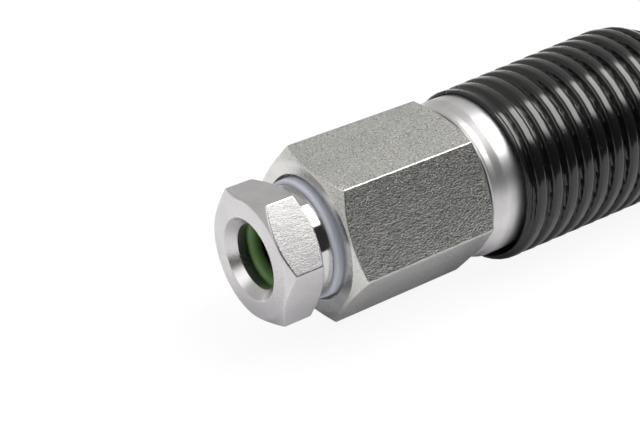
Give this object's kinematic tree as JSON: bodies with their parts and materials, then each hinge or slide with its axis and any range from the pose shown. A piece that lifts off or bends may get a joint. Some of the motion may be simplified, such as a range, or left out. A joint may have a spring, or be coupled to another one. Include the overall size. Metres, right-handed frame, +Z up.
{
  "type": "hydraulic hose assembly",
  "caption": "Hydraulic hose with a plug-in socket at one end, a ribbed black guard over the hose and a flat-face swivel nut at the other.",
  "frame": {"origin": "centre of the plug socket's bore at the inner edge of its mouth", "axes": "+X from the socket along the fitting into the hose, +Z up, the hose turns towards -Y"},
  "size_m": [0.3731, 0.3702, 0.0293],
  "materials": {
    "zinc_nut": "satin zinc-nickel plated, turned and milled",
    "green_seal": "satin green elastomer",
    "white_nylon": "translucent satin nylon",
    "zinc_body": "sand-grained zinc plating on milled flats",
    "spring_steel": "oiled spring steel",
    "polyurethane": "amber elastomer",
    "bright_steel": "turned steel",
    "white_ptfe": "matt white fluoropolymer",
    "black_seal": "satin black nitrile rubber",
    "zinc_ferrule": "zinc plated, crimped",
    "hose_rubber": "smooth black rubber",
    "braid_wire": "brass-coated braided wire",
    "cover_rubber": "cloth-marked black rubber",
    "guard_plastic": "glossy black polyamide",
    "zinc_nipple": "zinc-nickel plated, turned",
    "zinc_swivel": "zinc-nickel plated, milled flats"
  },
  "bodies": {
    "hose": {"connector_body": "zinc_body", "retaining_ring": "spring_steel", "tension_ring": "polyurethane", "support_ring": "bright_steel", "backup_ring": "white_ptfe", "main_o_ring": "black_seal", "front_ferrule": "zinc_ferrule", "hose_liner": "hose_rubber", "inner_wire_braid": "braid_wire", "braid_separator": "hose_rubber", "outer_wire_braid": "braid_wire", "hose_cover": "cover_rubber", "ribbed_sleeve": "guard_plastic", "rear_ferrule": "zinc_ferrule", "rear_nipple": "zinc_nipple", "nut_retaining_wire": "spring_steel"},
    "gland_travel": {"spacer_ring": "white_nylon"},
    "gland": {"gland_nut": "zinc_nut", "wiper_o_ring": "green_seal"},
    "swivel": {"swivel_nut": "zinc_swivel"}
  },
  "joints": [
    {"name": "gland_slide", "type": "slide", "parent": "hose", "child": "gland_travel", "axis": [-1, 0, 0], "range_m": [0, 0.0075]},
    {"name": "gland_turn", "type": "hinge", "parent": "gland_travel", "child": "gland", "pos_m": [0, 0, 0], "axis": [-1, 0, 0], "range_deg": [0, 1800]},
    {"name": "swivel_turn", "type": "hinge", "parent": "hose", "child": "swivel", "pos_m": [0.35675, -0.348, 0], "axis": [0, -1, 0], "continuous": true}
  ],
  "couplings": [
    {"joint": "gland_slide", "follows": "gland_turn", "m_per_rad": 0.00023873}
  ]
}
